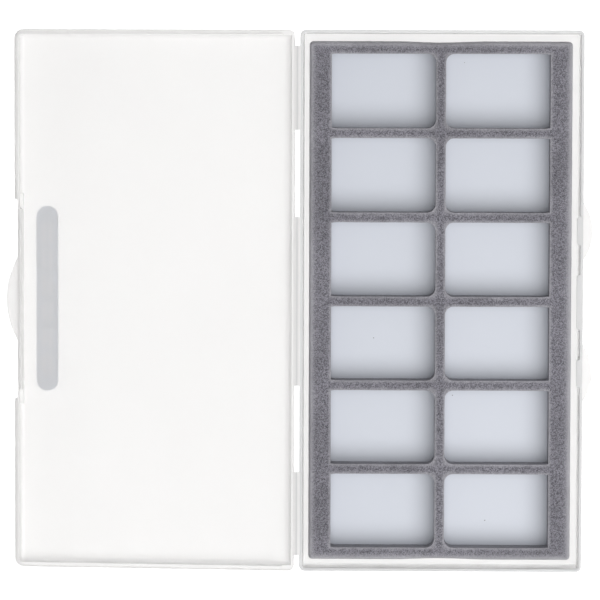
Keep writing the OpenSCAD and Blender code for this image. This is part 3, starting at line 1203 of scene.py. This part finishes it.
@dataclass
class FoamDivider:
    """The foam divider: a core of spine and cross bars, and a straight rail on either side."""

    width: float = 92 * MM
    length: float = 182 * MM
    shift: float = 0.4 * MM
    rail: float = 7.8 * MM
    end_bar: float = 4.3 * MM
    bar: float = 3.5 * MM
    rows: int = 6
    corner: float = 3 * MM
    pitch: float = 0.7 * MM
    flare: float = 0.35 * MM
    flare_reach: float = 1.3 * MM
    bow: float = 0.4 * MM
    roughness: float = 0.07 * MM
    unevenness: float = 0.08 * MM
    # How pale the foam is painted: walls partly fray and partly painted bounce light, cut edges partly fray
    # and partly painted highlight, the outer shoulder a painted highlight.
    wall_fray_and_bounce_light: float = 0.8
    shoulder_highlight: float = 1.7
    fray_and_highlight_reach: float = 0.55 * MM
    edge_depth: float = 0.5 * MM
    shoulder_reach: float = 1.5 * MM
    shoulder_depth: float = 2.5 * MM
    end_clear: float = 1.4 * MM
    top_grid: float = 0.9 * MM
    low: float = field(init=False)
    high: float = field(init=False)

    DEPTHS = (0.0, 0.06, 0.25, 0.8, 2.0, 4.5, 7.5)
    INTO_POCKET_WALL = (0.17, 0.05, 0.0, 0.0, 0.05, 0.09, 0.06)
    INTO_OUTER_SIDE = (0.88, 0.78, 0.64, 0.08, 0.02, 0.0, 0.0)

    def __post_init__(self) -> None:
        """Takes the divider's height from its CAD node."""
        low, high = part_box("foam_core")
        self.low, self.high = low[2], high[2]

    @property
    def core_half(self) -> float:
        """Half of the core's width."""
        return self.width / 2 - self.rail

    @property
    def pocket_length(self) -> float:
        """A pocket's length along Y."""
        return (self.length - 2 * self.end_bar - (self.rows - 1) * self.bar) / self.rows

    def pocket_span(self, row: int) -> Point:
        """The lowest and highest y of a row of pockets."""
        middle = (row - (self.rows - 1) / 2) * (self.pocket_length + self.bar)
        return middle - self.pocket_length / 2, middle + self.pocket_length / 2

    def bay(self, row: int) -> list[Point]:
        """The edge of a pocket beside the spine, from its lower to its upper end at +X."""
        low, high = self.pocket_span(row)
        r, inner, outer = self.corner, self.bar / 2, self.core_half
        return (
            [(outer, low)]
            + arc((inner + r, low + r), r, 270, 180, 8)
            + arc((inner + r, high - r), r, 180, 90, 8)
            + [(outer, high)]
        )

    def core_loop(self) -> FoamLoop:
        """The core's outline, anticlockwise, with its middle at x = 0."""
        half, end = self.core_half, self.length / 2
        points: list[Point] = [(-half, -end), (half, -end)]
        kinds = [EdgeKind.OUTSIDE, EdgeKind.SEAM]
        for side, rows in ((1, range(self.rows)), (-1, reversed(range(self.rows)))):
            for row in rows:
                bay = self.bay(row)
                if side < 0:
                    bay = [(-x, y) for x, y in reversed(bay)]
                points += bay
                kinds += [EdgeKind.POCKET] * (len(bay) - 1) + [EdgeKind.SEAM]
            if side > 0:
                points += [(half, end), (-half, end)]
                kinds += [EdgeKind.OUTSIDE, EdgeKind.SEAM]
        return FoamLoop(points, kinds)

    def rail_loop(self, side: int) -> FoamLoop:
        """A rail's outline, anticlockwise, on one side of x = 0."""
        inner, outer, end = self.core_half, self.width / 2, self.length / 2
        r = 1.4 * MM
        outside = arc((outer - r, r - end), r, -90, 0, 4) + arc((outer - r, end - r), r, 0, 90, 4)
        points = [(inner, -end)] + outside + [(inner, end)]
        kinds = [EdgeKind.OUTSIDE] * (len(outside) + 1) + [EdgeKind.SEAM]
        for row in reversed(range(self.rows)):
            low, high = self.pocket_span(row)
            points += [(inner, high), (inner, low)]
            kinds += [EdgeKind.POCKET, EdgeKind.SEAM]
        if side < 0:
            points = [(-x, y) for x, y in reversed(points)]
            kinds = list(reversed(kinds[:-1])) + [kinds[-1]]
        return FoamLoop(points, kinds)

    def wander(self, x: float, y: float, z: float) -> float:
        """A small repeatable unevenness of a cut edge, from about -1 to 1."""
        scale = 1 / (1.1 * MM)
        slow = 1 / (9 * MM)
        return 0.7 * noise(Vector((x, y, z)) * scale) + 0.5 * noise(Vector((x, y, 0)) * slow)

    def edge_inset(self, a: Point, b: Point, kind: EdgeKind, level: int) -> tuple[Vector, float]:
        """How far one edge of an outline moves into the foam at a level.

        Args:
            a: the edge's first point.
            b: its last point.
            kind: what the edge is.
            level: the number of the level, from the top.

        Returns:
            The direction into the foam and the distance.
        """
        normal = Vector((a[1] - b[1], b[0] - a[0])).normalized()
        if kind is EdgeKind.SEAM:
            return normal, 0.0
        x, y = (a[0] + b[0]) / 2, (a[1] + b[1]) / 2
        crosswise = abs(normal.y) > 0.5
        if kind is EdgeKind.POCKET:
            into = self.INTO_POCKET_WALL[level] * MM
            near = max(0.0, 1 - (self.core_half - abs(x)) / self.flare_reach)
            into -= self.flare * near * near if crosswise else 0.0
        else:
            into = self.INTO_OUTER_SIDE[level] * MM
            from_spine = min(1.0, abs(x) / (self.core_half * 0.45))
            into += self.bow * (1 + math.cos(math.pi * from_spine)) / 2 if crosswise else 0.0
        return normal, into + self.roughness * self.wander(x, y, self.DEPTHS[level] * MM)

    def ring(self, loop: FoamLoop, level: int) -> Ring:
        """The outline at one level of its height.

        Args:
            loop: the resampled outline.
            level: the number of the level, from the top.

        Returns:
            The ring's points.
        """
        points = loop.points
        insets = [
            self.edge_inset(a, b, kind, level)
            for a, b, kind in zip(points, [*points[1:], points[0]], loop.kinds)
        ]
        z = self.high - self.DEPTHS[level] * MM
        ring = []
        for (x, y), (n0, d0), (n1, d1) in zip(points, [insets[-1], *insets[:-1]], insets):
            cross = n0.x * n1.y - n0.y * n1.x
            if abs(cross) > 0.2:
                move = Vector((d0 * n1.y - d1 * n0.y, d1 * n0.x - d0 * n1.x)) / cross
            else:
                move = (n0 + n1).normalized() * (d0 + d1) / 2
            ring.append(Vector((x + move.x - self.shift, y + move.y, z)))
        return ring

    def edge_distance(self, x: float, y: float) -> float:
        """How far a point is from the nearest cut edge, or less than zero outside the foam."""
        pitch = self.pocket_length + self.bar
        row = min(self.rows - 1, max(0, round(y / pitch + (self.rows - 1) / 2)))
        low, high = self.pocket_span(row)
        beside = max(self.bar / 2 - abs(x), abs(x) - self.core_half)
        beyond = max(low - y, y - high)
        if beside < 0 and beyond < 0:
            return -1.0
        to_pocket = math.hypot(max(beside, 0), max(beyond, 0))
        return min(to_pocket, self.width / 2 - abs(x), self.length / 2 - abs(y))

    def top_points(self, ring: Ring) -> list[Point]:
        """Points scattered over the top, inside a ring and clear of its edges."""
        xs, ys = [v.x for v in ring], [v.y for v in ring]
        grid = self.top_grid
        found = []
        for i in range(math.ceil((max(xs) - min(xs)) / grid)):
            for j in range(math.ceil((max(ys) - min(ys)) / grid)):
                x = min(xs) + (i + 0.5 + 0.6 * noise(Vector((i * 0.7, j * 0.7, 0.5)))) * grid
                y = min(ys) + (j + 0.5 + 0.6 * noise(Vector((i * 0.7, j * 0.7, 7.5)))) * grid
                clear = self.edge_distance(x + self.shift, y) > 0.6 * grid
                off_ends = self.length / 2 - abs(y) > self.end_clear
                if clear and off_ends and min(x - min(xs), max(xs) - x) > 0.4 * grid:
                    found.append((x, y))
        return found

    def solid(self, name: str, loop: FoamLoop) -> bpy.types.Object:
        """A foam piece with an uneven top, worn edges and walls.

        Args:
            name: the piece's name.
            loop: its outline.

        Returns:
            The piece.
        """
        loop = loop.resampled(self.pitch)
        rings = [self.ring(loop, level) for level in range(len(self.DEPTHS))]
        rings.append([Vector((v.x, v.y, self.low)) for v in rings[-1]])
        count = len(loop.points)
        flat = [Vector(v[:2]) for v in rings[0]]
        flat += [Vector(p) for p in self.top_points(rings[0])]
        top = delaunay_2d_cdt(flat, [], [list(range(count))], 1, 1e-7)
        vertices: list[Vector] = [v for ring in rings for v in ring]
        base = len(vertices)
        for v in top[0]:
            dip = 0.5 + 0.5 * noise(Vector((v.x, v.y, 0)) / (0.8 * MM))
            vertices.append(Vector((v.x, v.y, self.high - self.unevenness * dip)))
        for i in range(count):
            vertices[base + i].z = rings[0][i].z
        faces = [tuple(base + i for i in face) for face in top[2]]
        for start in range(0, count * (len(rings) - 1), count):
            faces += [
                (start + (i + 1) % count, start + i, start + count + i, start + count + (i + 1) % count)
                for i in range(count)
            ]
        faces.append(tuple(base - count + i for i in range(count)))
        piece = mesh_piece(name, vertices, faces)
        work = bmesh.new()
        work.from_mesh(piece.data)
        bmesh.ops.remove_doubles(work, verts=work.verts, dist=0.5e-6)
        bmesh.ops.recalc_face_normals(work, faces=work.faces)
        work.to_mesh(piece.data)
        work.free()
        self.mark_edges(piece.data)
        return smoothed(piece, 50)

    def mark_edges(self, mesh: bpy.types.Mesh) -> None:
        """Stores how pale each point is painted: cut edges partly frayed and partly a painted highlight,
        walls partly frayed and partly painted bounce light, and most on the outer shoulder, a painted
        highlight.
        """
        fray_and_highlight = mesh.attributes.new(FOAM_FRAY_AND_HIGHLIGHT, "FLOAT", "POINT")
        for vertex, place in zip(mesh.vertices, fray_and_highlight.data):
            x, y, z = vertex.co
            x += self.shift
            down = self.high - z
            inwards = max(0.0, self.edge_distance(x, y)) / self.fray_and_highlight_reach
            outer = max(0.0, min(self.width / 2 - abs(x), self.length / 2 - abs(y)))
            outer /= self.shoulder_reach
            # Walls and cut edges painted paler: partly fray, partly painted bounce light and painted
            # highlight.
            edge_fray_and_light = self.wall_fray_and_bounce_light if down > self.edge_depth else math.exp(-inwards * inwards)
            # Painted highlight on the outer shoulder, where light catches the rounded edge.
            shoulder_highlight_share = self.shoulder_highlight * math.exp(-outer * outer)
            place.value = max(edge_fray_and_light, shoulder_highlight_share if down < self.shoulder_depth else 0.0)

    def build(self) -> list[bpy.types.Object]:
        """The three foam pieces."""
        made = []
        for node, loop in (
            ("foam_core", self.core_loop()),
            ("foam_rail_inner", self.rail_loop(-1)),
            ("foam_rail_outer", self.rail_loop(1)),
        ):
            piece = self.solid(f"{node}_cut", loop)
            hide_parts(node)
            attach(piece, "tray")
            made.append(piece)
        return made


@dataclass(frozen=True)
class Case:
    """The whole object."""

    sizes: CaseSizes = field(default_factory=CaseSizes)

    def build(self, effects: Effects) -> list[bpy.types.Object]:
        """Builds every piece and gives it its finish.

        Args:
            effects: the shared shader effects.

        Returns:
            The pieces.
        """
        tray, lid, label = Tray(self.sizes), Lid(self.sizes), Label(self.sizes)
        tray_piece = tray.build()
        lid_piece = lid.build(label)
        field_piece, mark_piece = label.build(lid)
        webs = HingeWebs(self.sizes).build(lid)
        foam = FoamDivider().build()
        sheet = frame["nodes"]["floor_sheet"]
        adhesive = [frame["nodes"]["sheet_adhesive"], frame["nodes"]["foam_adhesive"]]
        Finish.TRAY.on(effects, tray_piece)
        # The rim's tops get the painted-shade copy of the tray's plastic.
        Finish.RIM.on_faces(effects, tray_piece, tray.is_rim)
        Finish.LID.on_faces(effects, tray_piece, tray.stands_out)
        Finish.LID.on(effects, lid_piece)
        Finish.BOND.on_faces(effects, lid_piece, partial(label.lies_against, lid))
        Finish.LABEL.on(effects, field_piece)
        Finish.MARK.on(effects, mark_piece)
        Finish.WEB.on(effects, *webs)
        Finish.FOAM.on(effects, *foam)
        Finish.SHEET.on(effects, sheet)
        Finish.ADHESIVE.on(effects, *adhesive)
        return [tray_piece, lid_piece, field_piece, mark_piece, *webs, *foam, sheet, *adhesive]


# ---------------------------------------------------------------------------------------------
# The studio
# ---------------------------------------------------------------------------------------------


@dataclass(frozen=True)
class Studio:
    """A pale table, a large soft light and the camera."""

    floor_drop: float = 0.05 * MM
    floor_size: float = 3.0
    floor_level: float = 0.06
    floor_glow: float = 1.45
    surround: float = 0.34
    key_power: float = 14.6
    key_size: float = 1.4
    key_at: tuple[float, float, float] = (0.36, -0.30, 1.12)
    camera_at: tuple[float, float, float] = (-0.0259, 0.0981, 1.503)
    camera_turn: tuple[float, float, float] = (-3.744, 0.916, 0.153)
    lens: float = 255.9

    def floor(self) -> bpy.types.Object:
        """The table's top."""
        half = self.floor_size / 2
        corners = [(-half, -half), (half, -half), (half, half), (-half, half)]
        floor = mesh_piece("table_top", at_height(corners, -self.floor_drop), [(0, 1, 2, 3)])
        material, tree, shader = new_material("pale_table")
        where = tree.node("ShaderNodeTexCoord").outputs["Object"]
        cloud = tree.node("ShaderNodeTexNoise", {"Vector": where, "Scale": 6.0, "Detail": 2.0}).outputs["Fac"]
        level = self.floor_level
        colour = tree.blend(cloud, grey(level - 0.005), grey(level + 0.005))
        tree.tree.links.new(colour, shader.inputs["Base Color"])
        shader.inputs["Roughness"].default_value = 0.6
        shader.inputs["Emission Color"].default_value = (1, 1, 1, 1)
        shader.inputs["Emission Strength"].default_value = self.floor_glow
        material.cycles.emission_sampling = "NONE"
        floor.data.materials.append(material)
        return floor

    def light(self) -> None:
        """The key light and the surrounding fill."""
        data = bpy.data.lights.new("key", "AREA")
        data.shape = "DISK"
        data.size = self.key_size
        data.energy = self.key_power
        key = bpy.data.objects.new("key", data)
        key.location = self.key_at
        key.rotation_euler = (-Vector(self.key_at)).to_track_quat("-Z", "Y").to_euler()
        bpy.context.scene.collection.objects.link(key)
        world = bpy.data.worlds.new("surround")
        world.use_nodes = True
        world.node_tree.nodes["Background"].inputs[0].default_value = (1, 1, 1, 1)
        world.node_tree.nodes["Background"].inputs[1].default_value = self.surround
        bpy.context.scene.world = world

    def camera(self) -> None:
        """The camera, high above the case."""
        data = bpy.data.cameras.new("camera")
        data.lens = self.lens
        data.clip_end = 20
        camera = bpy.data.objects.new("camera", data)
        camera.location = self.camera_at
        camera.rotation_euler = [math.radians(a) for a in self.camera_turn]
        bpy.context.scene.collection.objects.link(camera)
        bpy.context.scene.camera = camera

    def build(self) -> None:
        """Sets up the table, the lights, the camera and the way the picture is shown."""
        self.floor()
        self.light()
        self.camera()
        scene = bpy.context.scene
        scene.view_settings.view_transform = "Standard"
        scene.view_settings.look = "None"
        scene.cycles.use_denoising = True
        scene.cycles.max_bounces = 20
        scene.cycles.transmission_bounces = 20


def main() -> None:
    """Builds the case and its studio."""
    logging.basicConfig(level=logging.INFO, format="%(name)s: %(message)s")
    effects = Effects()
    for piece in Case().build(effects):
        log.info("%s: %d faces, %s", piece.name, len(piece.data.polygons), piece.active_material.name)
    Studio().build()


if __name__ == "__main__":
    main()
